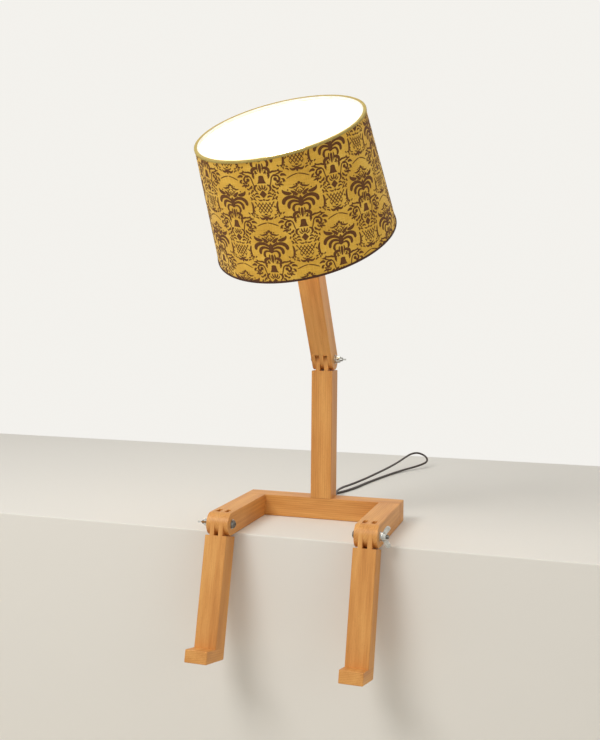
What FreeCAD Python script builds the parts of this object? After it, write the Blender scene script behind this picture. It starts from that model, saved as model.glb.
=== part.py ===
import FreeCAD
import Part
import math
import os

# A desk lamp built from square wooden sticks like a small seated figure: hip bar and thighs rest on
# a table, the shins hang over its front edge, a post stands on the hip bar and a leaning neck carries
# a lit drum shade. Millimetres. Origin on the table top, under the middle of the hip bar.
# +X is the right-hand thigh seen from the front, +Y is to the rear, +Z is up.

# Wooden sticks
stick = 28.0
frame_width = 212.0
knee_reach = 134.0
waist_height = 212.0
neck_length = 200.0
shin_length = 146.5
foot_height = 14.5
foot_reach = 25.5
edge_chamfer = 0.7
neck_lean = 32.0
shin_swing = 14.0

# Finger hinges: three fingers on one stick take two tongues of the other
leaf_count = 5
leaf_clearance = 0.1
shoulder_gap = 1.0
bolt_radius = 2.5
bolt_clearance = 0.05
bolt_head_radius = 4.9
bolt_head_height = 3.4
bolt_socket_width = 3.0
bolt_socket_depth = 2.0
bolt_tip = 3.2
washer_radius = 6.0
washer_thickness = 1.0
nut_base_radius = 5.2
nut_top_radius = 4.2
nut_height = 6.5
nut_foot = 2.0
wing_reach = 10.3
wing_rise = 8.6
wing_tip_radius = 2.9
wing_root_radius = 2.4
wing_thickness = 2.2
waist_wing_angle = 55.0
knee_wing_angles = {-1: 104.0, 1: 8.0}

# Dowels that hold the glued joints
dowel_clearance = 0.05
thigh_dowel_radius = 4.0
thigh_dowel_length = 40.0
thigh_dowel_offset = 7.0
post_dowel_radius = 3.0
post_dowel_length = 34.0
post_dowel_offset = 9.0
foot_dowel_radius = 2.5
foot_dowel_length = 26.0
foot_dowel_depth = 9.0
foot_dowel_offset = 7.0

# Lead inside the sticks
cord_diameter = 3.5
cord_fit = 0.05
bore_radius = 4.0
lead_bend = 8.0
cord_exit_height = 12.0
post_hole_drop = 34.0
neck_hole_height = 34.0
bush_flange_radius = 5.8
bush_flange = 1.5
bush_depth = 5.0
bush_fit = 0.05
gland_flange_radius = 6.5
gland_flange = 2.0
gland_depth = 6.0
gland_tail = 22.0
gland_root_radius = 4.4
gland_tip_radius = 2.7
gland_rib_gap = 3.0
gland_rib = 1.0
gland_rib_height = 0.5

# Slack lead behind the waist: its reach behind the post and its rise above the post's rear hole
slack_points = [(17.0, 0.0), (28.0, 19.0), (24.0, 56.0)]
slack_entry = 16.0

# Lampholder, measured up its own axis from the neck's top end
head_cant = 4.2
nipple_radius = 5.0
nipple_bore = 3.0
nipple_fit = 0.05
nipple_depth = 12.0
nipple_rise = 9.0
plate_radius = 13.5
plate_thickness = 1.5
cap_base_radius = 13.0
cap_radius = 20.0
cap_flare_top = 15.0
cap_top = 24.0
cap_wall = 2.2
holder_nut_width = 14.0
holder_nut_height = 3.0
barrel_radius = 19.0
barrel_wall = 2.0
barrel_top = 58.0
barrel_skirt = 3.0
barrel_fit = 0.1
running_fit = 0.05
flange_radius = 22.5
flange_height = 30.0
flange_thickness = 2.0
ring_nut_radius = 26.5
ring_nut_height = 7.0
ring_nut_notches = 12
ring_nut_notch_radius = 1.6
insert_height = 8.0
insert_fit = 0.1
shell_radius = 13.9
shell_wall = 0.4
shell_rim_depth = 1.0
contact_radius = 3.0
contact_height = 1.5
switch_block_width = 20.0
switch_block_depth = 15.0
switch_block_floor = 2.0
switch_height = 18.0
switch_bar_radius = 2.5
switch_button_radius = 3.6
switch_button_length = 3.0
switch_travel = 5.0
terminal_radius = 2.0
terminal_length = 3.5
terminal_offset = 12.5

# Bulb: a globe on a screw cap
bulb_cap_radius = 13.3
bulb_cap_height = 24.0
bulb_cap_wall = 0.5
bulb_tip_radius = 5.0
bulb_tip_seat_radius = 10.3
bulb_tip_height = 2.5
thread_pitch = 3.6
thread_depth = 0.7
bulb_radius = 22.5
bulb_neck_radius = 12.4
bulb_wall = 0.8
bulb_centre = 87.0
stem_radius = 3.0
stem_length = 22.0
filament_reach = 9.0
filament_radius = 0.5

# Shade: a slightly tapered drum on a wire frame
shade_bottom_radius = 110.0
shade_top_radius = 99.0
shade_height = 140.0
shade_centre = 48.0
cover_thickness = 0.7
lining_thickness = 0.6
layer_gap = 0.05
wire_radius = 1.7
spider_ring_radius = 30.0
spider_ring_thickness = 2.0
spider_fit = 0.3
spider_arms = 3
spider_arm_start = 28.5
binding_leg = 2.6
binding_thickness = 0.45

# Plug
plug_width = 35.0
plug_thickness = 13.6
plug_length = 30.0
plug_taper = 12.0
plug_rear_width = 14.0
plug_rear_thickness = 10.0
plug_guard_length = 14.0
plug_guard_root_radius = 4.2
plug_guard_tip_radius = 2.8
pin_radius = 2.0
pin_length = 19.0
pin_sleeve = 10.0
pin_sleeve_radius = 1.85
pin_spacing = 18.6

# Free cord: points chosen along its lie on the table, and the coil of the length put away
cord_points = [
    (0, 38, 12), (0, 60, 12), (-7, 90, 10.5), (-17, 126, 8.5), (-20, 166, 7.4), (-14, 208, 5.6),
    (-4, 252, 6.6), (6, 298, 8.8), (16, 340, 11.5), (26, 382, 15.5), (33, 416, 20), (40, 440, 24),
    (50, 457, 24), (63.5, 459, 18), (69.5, 447, 10.5), (61, 427, 7), (48.5, 408, 4.4), (35, 384, 2.6),
    (21, 340, 1.8), (10.5, 294, 1.8), (1, 247, 1.8), (-6, 200, 1.8), (-18.5, 160, 1.8),
    (-35, 128, 1.8), (-47, 103, 1.8), (-50.4, 80, 1.8), (-50.4, 63.5, 1.8),
]
tail_points = [
    (-50.4, 56.5, 5.9), (-50.4, 47, 5.4), (-46, 35, 3.2), (-33, 27, 1.9), (-16, 27.5, 1.8),
    (-3, 34, 2.2), (4, 45, 4), (14, 51, 6.9), (24, 51, 6.9),
]
coil_centre = (-76.0, 60.0)
coil_outer_radius = 25.6
coil_turn_step = 4.1
coil_layer_step = 4.1
coil_base = 1.8
coil_layer_turns = 3.25
coil_climb_turns = 0.5

V = FreeCAD.Vector
AXIS_X = V(1, 0, 0)
AXIS_Y = V(0, 1, 0)
AXIS_Z = V(0, 0, 1)
ORIGIN = V(0, 0, 0)

half = stick / 2
leaf = stick / leaf_count
shoulder = half + shoulder_gap
hole_radius = bolt_radius + bolt_clearance
knee_height = half
knee_offset = frame_width / 2 - half
cord_radius = cord_diameter / 2
lead_bore = cord_radius + cord_fit
post_hole_height = waist_height - post_hole_drop


# Placing and basic solids

def placed(shape, position, axis=AXIS_Z, angle=0.0):
    """A copy of the shape, turned about an axis through the origin, then moved."""
    copy = shape.copy()
    copy.Placement = FreeCAD.Placement(position, FreeCAD.Rotation(axis, angle)).multiply(shape.Placement)
    return copy


def box(x, y, z):
    """A box between the low and high value of each axis."""
    return Part.makeBox(x[1] - x[0], y[1] - y[0], z[1] - z[0], V(x[0], y[0], z[0]))


def rod(start, direction, length, radius):
    return Part.makeCylinder(radius, length, start, direction)


def turned(profile):
    """A solid of revolution about Z from (radius, height) corners."""
    corners = [V(radius, 0, height) for radius, height in profile]
    face = Part.Face(Part.makePolygon(corners + [corners[0]]))
    return face.revolve(ORIGIN, AXIS_Z, 360)


def ring(outer, inner, low, high):
    return turned([(inner, low), (outer, low), (outer, high), (inner, high)])


def group(solids):
    return Part.makeCompound(solids)


def hexagon(width, height, base):
    """A hexagonal prism of the given width across flats."""
    reach = width / 2 / math.cos(math.pi / 6)
    corners = [V(reach * math.cos(math.radians(60 * k)), reach * math.sin(math.radians(60 * k)), base)
               for k in range(6)]
    return Part.Face(Part.makePolygon(corners + [corners[0]])).extrude(V(0, 0, height))


# Wooden sticks

def stick_bar(low, high, free_ends=False):
    """A square stick along Z, its long edges and any free ends' edges lightly chamfered."""
    bar = box((-half, half), (-half, half), (low, high))

    def softened(edge):
        heights = [vertex.Point.z for vertex in edge.Vertexes]
        return free_ends or abs(heights[0] - heights[1]) > edge_chamfer

    return bar.makeChamfer(edge_chamfer, [edge for edge in bar.Edges if softened(edge)])


def hinged_stick(length, tongues):
    """A stick along +Z whose lower end turns about X through the origin."""
    bar = stick_bar(-half, length)
    rounding = rod(V(-half, 0, 0), AXIS_X, stick, half)
    bar = bar.common(rounding.fuse(box((-half, half), (-half, half), (0, length))))
    low, high = -stick, shoulder
    if tongues:
        kept = leaf - 2 * leaf_clearance
        edges = [-half] + [side for centre in (-leaf, leaf)
                           for side in (centre - kept / 2, centre + kept / 2)] + [half]
        spans = [(edges[0] - 1, edges[1]), (edges[2], edges[3]), (edges[4], edges[5] + 1)]
    else:
        spans = [(centre - leaf / 2, centre + leaf / 2) for centre in (-leaf, leaf)]
    for span in spans:
        bar = bar.cut(box(span, (-stick, stick), (low, high)))
    return bar.cut(rod(V(-stick, 0, 0), AXIS_X, 2 * stick, hole_radius))


def dowel(radius, length):
    """A dowel along +Z with chamfered ends."""
    ease = radius / 4
    return turned([(0, 0), (radius - ease, 0), (radius, ease), (radius, length - ease),
                   (radius - ease, length), (0, length)])


def dowel_hole(radius, length):
    return rod(ORIGIN, AXIS_Z, length, radius + dowel_clearance)


thigh_dowel_places = [
    V(side * knee_offset + shift, -half - thigh_dowel_length / 2, half)
    for side in (-1, 1) for shift in (-thigh_dowel_offset, thigh_dowel_offset)
]
post_dowel_places = [V(shift, 0, stick - post_dowel_length / 2)
                     for shift in (-post_dowel_offset, post_dowel_offset)]
foot_dowel_places = [V(shift, 0, shin_length + foot_dowel_depth - foot_dowel_length)
                     for shift in (-foot_dowel_offset, foot_dowel_offset)]


def laid(shape, place):
    """A shape along +Z, laid to run along +Y from a place."""
    return placed(shape, place, AXIS_X, -90)


def make_hip_bar():
    bar = placed(stick_bar(0, frame_width, True), V(-frame_width / 2, 0, half), AXIS_Y, 90)
    for place in thigh_dowel_places:
        bar = bar.cut(laid(dowel_hole(thigh_dowel_radius, thigh_dowel_length), place))
    for place in post_dowel_places:
        bar = bar.cut(placed(dowel_hole(post_dowel_radius, post_dowel_length), place))
    bottom = cord_exit_height - bore_radius
    bar = bar.cut(rod(V(0, 0, bottom), AXIS_Z, stick - bottom, bore_radius))
    return bar.cut(rod(V(0, -bore_radius, cord_exit_height), AXIS_Y, stick, bore_radius))


def make_thigh(side):
    bar = placed(hinged_stick(knee_reach - half, False),
                 V(side * knee_offset, -knee_reach, knee_height), AXIS_X, -90)
    for place in thigh_dowel_places:
        if place.x * side > 0:
            bar = bar.cut(laid(dowel_hole(thigh_dowel_radius, thigh_dowel_length), place))
    return bar


def make_post():
    bar = placed(hinged_stick(waist_height - stick, True), V(0, 0, waist_height), AXIS_X, 180)
    for place in post_dowel_places:
        bar = bar.cut(placed(dowel_hole(post_dowel_radius, post_dowel_length), place))
    bar = bar.cut(rod(V(0, 0, stick), AXIS_Z, post_hole_height + bore_radius - stick, bore_radius))
    return bar.cut(rod(V(0, -bore_radius, post_hole_height), AXIS_Y, stick, bore_radius))


def on_neck(shape):
    return placed(shape, V(0, 0, waist_height), AXIS_X, neck_lean)


def on_head(shape):
    """From the lampholder's axis to the neck's top end, which is sawn a little out of square."""
    return on_neck(placed(shape, V(0, 0, neck_length), AXIS_Y, -head_cant))


def make_neck():
    bar = hinged_stick(neck_length + half, False)
    above = box((-stick, stick), (-stick, stick), (0, stick))
    bar = bar.cut(placed(above, V(0, 0, neck_length), AXIS_Y, -head_cant))
    low = neck_hole_height - bore_radius
    bar = bar.cut(rod(V(0, 0, low), AXIS_Z, neck_length + half - low, bore_radius))
    bar = bar.cut(rod(V(0, -bore_radius, neck_hole_height), AXIS_Y, stick, bore_radius))
    socket = rod(V(0, 0, -nipple_depth), AXIS_Z, nipple_depth + half, nipple_radius + nipple_fit)
    bar = bar.cut(placed(socket, V(0, 0, neck_length), AXIS_Y, -head_cant))
    return on_neck(bar)


def on_leg(shape, side):
    """From the knee axis, with +Z down the shin, to the leg's place."""
    return placed(shape, V(side * knee_offset, -knee_reach, knee_height), AXIS_X, 180 - shin_swing)


def make_shin(side):
    bar = hinged_stick(shin_length, True)
    for place in foot_dowel_places:
        bar = bar.cut(placed(dowel_hole(foot_dowel_radius, foot_dowel_length), place))
    return on_leg(bar, side)


def make_foot(side):
    block = box((-half, half), (-half, half + foot_reach), (shin_length, shin_length + foot_height))

    def softened(edge):
        middle = edge.CenterOfMass
        return middle.z > shin_length + edge_chamfer or middle.y > half + foot_reach - edge_chamfer

    block = block.makeChamfer(edge_chamfer, [edge for edge in block.Edges if softened(edge)])
    for place in foot_dowel_places:
        block = block.cut(placed(dowel_hole(foot_dowel_radius, foot_dowel_length), place))
    return on_leg(block, side)


# Hinge hardware, made with its bolt along +Z from the middle of the stick

def make_bolt():
    seat = -half - washer_thickness
    crown = seat - bolt_head_height
    tip = half + washer_thickness + nut_height + bolt_tip
    ease = bolt_radius / 4
    body = turned([
        (0, crown), (bolt_head_radius * 0.6, crown), (bolt_head_radius * 0.9, crown + bolt_head_height / 3),
        (bolt_head_radius, seat - bolt_head_height / 3), (bolt_head_radius, seat), (bolt_radius, seat),
        (bolt_radius, tip - ease), (bolt_radius - ease, tip), (0, tip),
    ])
    return body.cut(hexagon(bolt_socket_width, bolt_socket_depth, crown))


def make_washers():
    washer = ring(washer_radius, hole_radius, 0, washer_thickness)
    return group([placed(washer, V(0, 0, half)), placed(washer, V(0, 0, -half - washer_thickness))])


def link_face(first, second):
    """The outline round two circles of the XZ plane, each given as (x, z, radius)."""
    run = math.atan2(second[1] - first[1], second[0] - first[0])
    span = math.hypot(second[0] - first[0], second[1] - first[1])
    open_angle = math.acos((first[2] - second[2]) / span)

    def on(circle, angle):
        return V(circle[0] + circle[2] * math.cos(angle), 0, circle[1] + circle[2] * math.sin(angle))

    a, b = on(first, run + open_angle), on(first, run - open_angle)
    c, d = on(second, run - open_angle), on(second, run + open_angle)
    edges = [
        Part.Arc(a, on(first, run + math.pi), b).toShape(), Part.LineSegment(b, c).toShape(),
        Part.Arc(c, on(second, run), d).toShape(), Part.LineSegment(d, a).toShape(),
    ]
    return Part.Face(Part.Wire(edges))


def make_wing_nut(wing_angle):
    """A wing nut on the bolt's tip, its wings turned to an angle about the bolt."""
    hub = turned([(hole_radius, 0), (nut_base_radius, 0), (nut_base_radius, nut_foot),
                  (nut_top_radius, nut_height), (hole_radius, nut_height)])
    for side in (-1, 1):
        root = (side * (hole_radius + wing_root_radius / 2), nut_foot + wing_root_radius, wing_root_radius)
        tip = (side * wing_reach, wing_rise, wing_tip_radius)
        wing = link_face(root, tip).extrude(V(0, wing_thickness, 0))
        hub = hub.fuse(placed(wing, V(0, -wing_thickness / 2, 0)))
    hub = hub.cut(rod(V(0, 0, -1), AXIS_Z, nut_height + wing_rise, hole_radius))
    return placed(placed(hub, ORIGIN, AXIS_Z, wing_angle), V(0, 0, half + washer_thickness))


def on_knee(shape, side):
    """Hardware at a knee, its nut on the outer side."""
    return placed(shape, V(side * knee_offset, -knee_reach, knee_height), AXIS_Y, side * 90)


def on_waist(shape):
    return on_neck(placed(shape, ORIGIN, AXIS_Y, 90))


# Tubes for leads and cords

def rounded_path(points, bend=None):
    """Straight runs joined by tangent arcs, and the arcs' radii."""
    corners = [V(*point) for point in points]
    start, edges, radii = corners[0], [], []
    for before, corner, after in zip(corners, corners[1:], corners[2:]):
        back, ahead = before - corner, after - corner
        shorter = min(back.Length, ahead.Length)
        turn = math.pi - back.getAngle(ahead)
        radius = bend or 0.45 * shorter / math.tan(turn / 2)
        reach = radius * math.tan(turn / 2)
        back.normalize()
        ahead.normalize()
        entry, leave = corner + back * reach, corner + ahead * reach
        middle = (back + ahead).normalize()
        inner = corner + middle * (radius / math.cos(turn / 2) - radius)
        edges += [Part.LineSegment(start, entry).toShape(), Part.Arc(entry, inner, leave).toShape()]
        start = leave
        radii.append(radius)
    edges.append(Part.LineSegment(start, corners[-1]).toShape())
    return Part.Wire(edges), radii


def swept(path, start, direction):
    """A round tube of the cord's diameter along a path."""
    circle = Part.Wire(Part.makeCircle(cord_radius, start, direction))
    return path.makePipeShell([circle], True, False)


def tube(points, name, bend=None):
    path, radii = rounded_path(points, bend)
    start, second = V(*points[0]), V(*points[1])
    solid = swept(path, start, second - start)
    expected = math.pi * cord_radius ** 2 * path.Length
    tightest = min(radii)
    print(f"{name}: length {path.Length:.1f}, tightest radius {tightest:.1f} = "
          f"{tightest / cord_diameter:.1f} diameters, volume over section x length "
          f"{solid.Volume / expected:.5f}")
    return solid


def make_post_lead():
    outer = half + gland_flange + gland_tail
    return tube([(0, outer, cord_exit_height), (0, 0, cord_exit_height),
                 (0, 0, post_hole_height), (0, half + bush_flange, post_hole_height)],
                "post lead", lead_bend)


def neck_point(point):
    """A point of the neck's own frame, in the lamp's frame."""
    turn = FreeCAD.Placement(V(0, 0, waist_height), FreeCAD.Rotation(AXIS_X, neck_lean))
    return turn.multVec(V(*point))


neck_hole_mouth = (0, half + bush_flange, neck_hole_height)


def make_waist_loop():
    """The slack that lets the neck fold, from the post's rear hole to the neck's."""
    start = V(0, half + bush_flange, post_hole_height)
    end = neck_point(neck_hole_mouth)
    outward = neck_point((0, half + bush_flange + slack_entry, neck_hole_height))
    middle = [V(0, half + reach, post_hole_height + rise) for reach, rise in slack_points]
    return tube([tuple(point) for point in [start] + middle + [outward, end]], "waist loop")


def make_neck_lead():
    cant = math.radians(head_cant)
    top = (-nipple_rise * math.sin(cant), 0, neck_length + nipple_rise * math.cos(cant))
    points = [neck_hole_mouth, (0, 0, neck_hole_height), (0, 0, neck_length - nipple_depth / 2), top]
    return on_neck(tube(points, "neck lead", lead_bend))


def make_bush():
    """A flanged bush along +Z: flange outside the face, sleeve in the hole."""
    return turned([(lead_bore, -bush_depth), (bore_radius - bush_fit, -bush_depth),
                   (bore_radius - bush_fit, 0), (bush_flange_radius, 0),
                   (bush_flange_radius - bush_flange / 3, bush_flange), (lead_bore, bush_flange)])


def make_gland():
    """The cord's strain relief: a flanged sleeve with a ribbed, tapering tail."""
    profile = [(lead_bore, -gland_depth), (bore_radius - bush_fit, -gland_depth),
               (bore_radius - bush_fit, 0), (gland_flange_radius, 0),
               (gland_flange_radius, gland_flange), (gland_root_radius, gland_flange)]
    slope = (gland_tip_radius - gland_root_radius) / gland_tail
    place = gland_rib_gap
    while place + gland_rib < gland_tail - gland_rib:
        low, high = gland_flange + place, gland_flange + place + gland_rib
        outer = gland_root_radius + slope * place
        profile += [(outer, low), (outer + gland_rib_height, low), (outer + gland_rib_height, high),
                    (outer + slope * gland_rib, high)]
        place += gland_rib + gland_rib_gap
    profile += [(gland_tip_radius, gland_flange + gland_tail), (lead_bore, gland_flange + gland_tail)]
    return laid(turned(profile), V(0, half, cord_exit_height))


# The coil of put-away cord

coil_turns = 2 * coil_layer_turns + coil_climb_turns


def coil_place(turns):
    """The cord's centre, radius, growth and angle after a number of clockwise turns."""
    middle = coil_turns / 2
    radius = coil_outer_radius - coil_turn_step * (middle - abs(turns - middle))
    growth = coil_turn_step * ((turns > middle) - (turns < middle))
    share = min(max((turns - coil_layer_turns) / coil_climb_turns, 0.0), 1.0)
    rise = coil_layer_step * (3 - 2 * share) * share ** 2
    angle = -2 * math.pi * turns
    centre = V(coil_centre[0] + radius * math.cos(angle), coil_centre[1] + radius * math.sin(angle),
               coil_base + rise)
    return centre, radius, growth, angle


def coil_direction(turns):
    """The cord's direction there; both ends are square to the coil's radius."""
    centre, radius, growth, angle = coil_place(turns)
    share = min(max((turns - coil_layer_turns) / coil_climb_turns, 0.0), 1.0)
    climb = 6 * share * (1 - share) * coil_layer_step / coil_climb_turns
    if turns in (0, coil_turns):
        growth = 0
    across, rise = growth / (2 * math.pi), climb / (2 * math.pi)
    direction = V(across * math.cos(angle) + radius * math.sin(angle),
                  across * math.sin(angle) - radius * math.cos(angle), rise)
    return direction.normalize()


def biarc(start, start_way, end, end_way):
    """Two arcs that leave and arrive in given directions."""
    chord = end - start
    both = start_way + end_way
    square = 2 * (1 - start_way.dot(end_way))
    along = chord.dot(both)
    if square < 1e-9:
        reach = chord.dot(chord) / (2 * along)
    else:
        reach = (-along + math.sqrt(along ** 2 + square * chord.dot(chord))) / square
    join = (start + start_way * reach + end - end_way * reach) * 0.5
    return [arc_from(start, start_way, join), arc_from(end, end_way * -1, join)]


def arc_from(start, way, end):
    """The arc from start, leaving along a direction, to end."""
    chord = end - start
    across = chord - way * chord.dot(way)
    if across.Length < 1e-6:
        return Part.LineSegment(start, end).toShape()
    turn = way.getAngle(chord)
    radius = chord.Length / (2 * math.sin(turn))
    side = V(across).normalize()
    middle = start + way * (radius * math.sin(turn)) + side * (radius * (1 - math.cos(turn)))
    return Part.Arc(start, middle, end).toShape()


def make_coil():
    quarters = int(round(coil_turns * 4))
    places = [coil_place(k / 4)[0] for k in range(quarters + 1)]
    ways = [coil_direction(k / 4) for k in range(quarters + 1)]
    straight = cord_diameter
    lead_in = places[0] - ways[0] * straight
    lead_out = places[-1] + ways[-1] * straight
    edges = [Part.LineSegment(lead_in, places[0]).toShape()]
    for k in range(quarters):
        edges += biarc(places[k], ways[k], places[k + 1], ways[k + 1])
    edges.append(Part.LineSegment(places[-1], lead_out).toShape())
    path = Part.Wire(Part.__sortEdges__(edges))
    solid = swept(path, lead_in, ways[0])
    sample = [coil_place(k / 60)[0] for k in range(int(coil_turns * 60) + 1)]
    least = min((sample[a] - sample[b]).Length for a in range(len(sample))
                for b in range(a + 40, len(sample)))
    print(f"coil: turns {coil_turns}, length {path.Length:.1f}, least gap {least - cord_diameter:.2f}, "
          f"ends {tuple(lead_in)} {tuple(lead_out)}, volume over section x length "
          f"{solid.Volume / (math.pi * cord_radius ** 2 * path.Length):.5f}")
    return solid


# Plug

def stadium(width, thickness, place):
    """A round-ended outline across X at a place along it, width in Y and thickness in Z."""
    flat, corner = width / 2 - thickness / 2, thickness / 2
    dip = corner * math.sin(math.radians(45))

    def at(y, z):
        return V(place, y, z)

    edges = [
        Part.LineSegment(at(-flat, -corner), at(flat, -corner)).toShape(),
        Part.Arc(at(flat, -corner), at(flat + dip, -dip), at(flat + corner, 0)).toShape(),
        Part.Arc(at(flat + corner, 0), at(flat + dip, dip), at(flat, corner)).toShape(),
        Part.LineSegment(at(flat, corner), at(-flat, corner)).toShape(),
        Part.Arc(at(-flat, corner), at(-flat - dip, dip), at(-flat - corner, 0)).toShape(),
        Part.Arc(at(-flat - corner, 0), at(-flat - dip, -dip), at(-flat, -corner)).toShape(),
    ]
    return Part.Wire(edges)


plug_face = plug_guard_length + plug_taper + plug_length - plug_taper / 2


def on_plug(shape):
    """From the cord's entry, with the pins along +X, to the plug's place behind the hip bar."""
    return placed(shape, V(*tail_points[-1]))


def make_plug_body():
    taper_start = plug_guard_length
    taper_end = taper_start + plug_taper
    body = Part.makeLoft([stadium(plug_rear_width, plug_rear_thickness, taper_start),
                          stadium(plug_width, plug_thickness, taper_end)], True, True)
    body = body.fuse(Part.makeLoft([stadium(plug_width, plug_thickness, taper_end),
                                    stadium(plug_width, plug_thickness, plug_face)], True, True))
    guard = placed(turned([(0, 0), (plug_guard_tip_radius, 0), (plug_guard_root_radius, taper_start),
                           (0, taper_start)]), ORIGIN, AXIS_Y, 90)
    body = body.fuse(guard)
    for side in (-1, 1):
        hole = rod(V(plug_face - pin_sleeve, side * pin_spacing / 2, 0), AXIS_X, pin_sleeve, pin_radius)
        body = body.cut(hole)
    return on_plug(body.removeSplitter())


def make_plug_pins():
    ease = pin_radius / 2
    pin = turned([(0, -pin_sleeve), (pin_radius, -pin_sleeve), (pin_radius, 0), (pin_sleeve_radius, 0),
                  (pin_sleeve_radius, pin_sleeve), (pin_radius, pin_sleeve),
                  (pin_radius, pin_length - ease), (pin_radius - ease, pin_length), (0, pin_length)])
    pins = [placed(pin, V(plug_face, side * pin_spacing / 2, 0), AXIS_Y, 90) for side in (-1, 1)]
    return group([on_plug(pin) for pin in pins])


# Lampholder

cap_floor = plate_thickness
holder_bore = barrel_radius - barrel_wall
spider_base = flange_height + flange_thickness
ring_nut_base = spider_base + spider_ring_thickness
insert_base = cap_top
shell_base = insert_base + insert_height
bulb_base = shell_base + contact_height
bulb_cap_top = bulb_base + bulb_cap_height


def make_nipple():
    return ring(nipple_radius, nipple_bore, -nipple_depth, nipple_rise)


def make_seat_plate():
    return ring(plate_radius, nipple_radius + nipple_fit, 0, plate_thickness)


def make_holder_cap():
    inside = cap_radius - cap_wall
    floor_top = cap_floor + cap_wall
    shell = turned([
        (nipple_radius + nipple_fit, cap_floor), (cap_base_radius, cap_floor),
        (cap_radius, cap_flare_top), (cap_radius, cap_top), (inside, cap_top), (inside, cap_flare_top),
        (cap_base_radius - cap_wall, floor_top), (nipple_radius + nipple_fit, floor_top),
    ])
    bar = rod(V(-stick, 0, switch_height), AXIS_X, 2 * stick, switch_bar_radius + running_fit)
    return shell.cut(bar)


def make_holder_nut():
    base = cap_floor + cap_wall
    return hexagon(holder_nut_width, holder_nut_height, base).cut(
        rod(V(0, 0, base), AXIS_Z, holder_nut_height, nipple_radius + nipple_fit))


def make_barrel():
    skirt = cap_radius - cap_wall - barrel_fit
    skirt_base = cap_top - barrel_skirt
    return turned([
        (holder_bore, skirt_base), (skirt, skirt_base), (skirt, cap_top), (cap_radius, cap_top),
        (cap_radius, flange_height), (flange_radius, flange_height), (flange_radius, spider_base),
        (barrel_radius, spider_base), (barrel_radius, barrel_top), (holder_bore, barrel_top),
    ])


def make_ring_nut():
    """The notched ring that clamps the shade's spider on the barrel."""
    nut = ring(ring_nut_radius, barrel_radius + running_fit, ring_nut_base, ring_nut_base + ring_nut_height)
    for k in range(ring_nut_notches):
        angle = 2 * math.pi * k / ring_nut_notches
        place = V(ring_nut_radius * math.cos(angle), ring_nut_radius * math.sin(angle), ring_nut_base)
        nut = nut.cut(rod(place, AXIS_Z, ring_nut_height, ring_nut_notch_radius))
    return nut


def make_insert():
    return rod(V(0, 0, insert_base), AXIS_Z, insert_height, holder_bore - insert_fit)


def make_screw_shell():
    return ring(shell_radius, shell_radius - shell_wall, shell_base, barrel_top - shell_rim_depth)


def make_centre_contact():
    return rod(V(0, 0, shell_base), AXIS_Z, contact_height, contact_radius)


def make_switch_block():
    block = box((-switch_block_width / 2, switch_block_width / 2),
                (-switch_block_depth / 2, switch_block_depth / 2),
                (switch_height - switch_bar_radius - switch_block_floor, insert_base))
    return block.cut(rod(V(-stick, 0, switch_height), AXIS_X, 2 * stick, switch_bar_radius + running_fit))


def make_switch_bar():
    """A push-through bar: it stands out on the left while the lamp is on."""
    reach = cap_radius + switch_button_length + switch_travel
    start = V(-reach, 0, switch_height)
    bar = rod(start, AXIS_X, 2 * reach - switch_travel, switch_bar_radius)
    left = rod(start, AXIS_X, switch_button_length, switch_button_radius)
    right = rod(V(cap_radius, 0, switch_height), AXIS_X, switch_button_length, switch_button_radius)
    return bar.fuse(left).fuse(right).removeSplitter()


def make_terminals():
    base = insert_base - terminal_length
    return group([rod(V(0, side * terminal_offset, base), AXIS_Z, terminal_length, terminal_radius)
                  for side in (-1, 1)])


# Bulb

def make_bulb_cap():
    """The screw cap, its rolled thread as rings, closed by the contact tip."""
    low = bulb_base + bulb_tip_height
    profile = [(0, bulb_base), (bulb_tip_radius, bulb_base), (bulb_tip_seat_radius, low)]
    turns = int((bulb_cap_height - bulb_tip_height) / thread_pitch)
    for k in range(turns):
        place = low + k * thread_pitch
        profile += [(bulb_cap_radius - thread_depth, place), (bulb_cap_radius, place + thread_pitch / 2)]
    inside = bulb_cap_radius - thread_depth - bulb_cap_wall
    profile += [(bulb_cap_radius - thread_depth, bulb_cap_top), (inside, bulb_cap_top),
                (inside, low + bulb_cap_wall), (0, low + bulb_cap_wall)]
    return turned(profile)


def make_bulb_glass():
    """An open-necked globe that stands in the cap."""
    inner_radius = bulb_radius - bulb_wall
    neck_inside = bulb_neck_radius - bulb_wall
    base = bulb_cap_top
    shoulder_z = bulb_centre - math.sqrt(bulb_radius ** 2 - bulb_neck_radius ** 2)
    inner_z = bulb_centre - math.sqrt(inner_radius ** 2 - neck_inside ** 2)
    top, inner_top = V(0, 0, bulb_centre + bulb_radius), V(0, 0, bulb_centre + inner_radius)
    edges = [
        Part.LineSegment(V(neck_inside, 0, base), V(bulb_neck_radius, 0, base)).toShape(),
        Part.LineSegment(V(bulb_neck_radius, 0, base), V(bulb_neck_radius, 0, shoulder_z)).toShape(),
        Part.Arc(V(bulb_neck_radius, 0, shoulder_z), V(bulb_radius, 0, bulb_centre), top).toShape(),
        Part.LineSegment(top, inner_top).toShape(),
        Part.Arc(inner_top, V(inner_radius, 0, bulb_centre), V(neck_inside, 0, inner_z)).toShape(),
        Part.LineSegment(V(neck_inside, 0, inner_z), V(neck_inside, 0, base)).toShape(),
    ]
    return Part.Face(Part.Wire(edges)).revolve(ORIGIN, AXIS_Z, 360)


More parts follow.
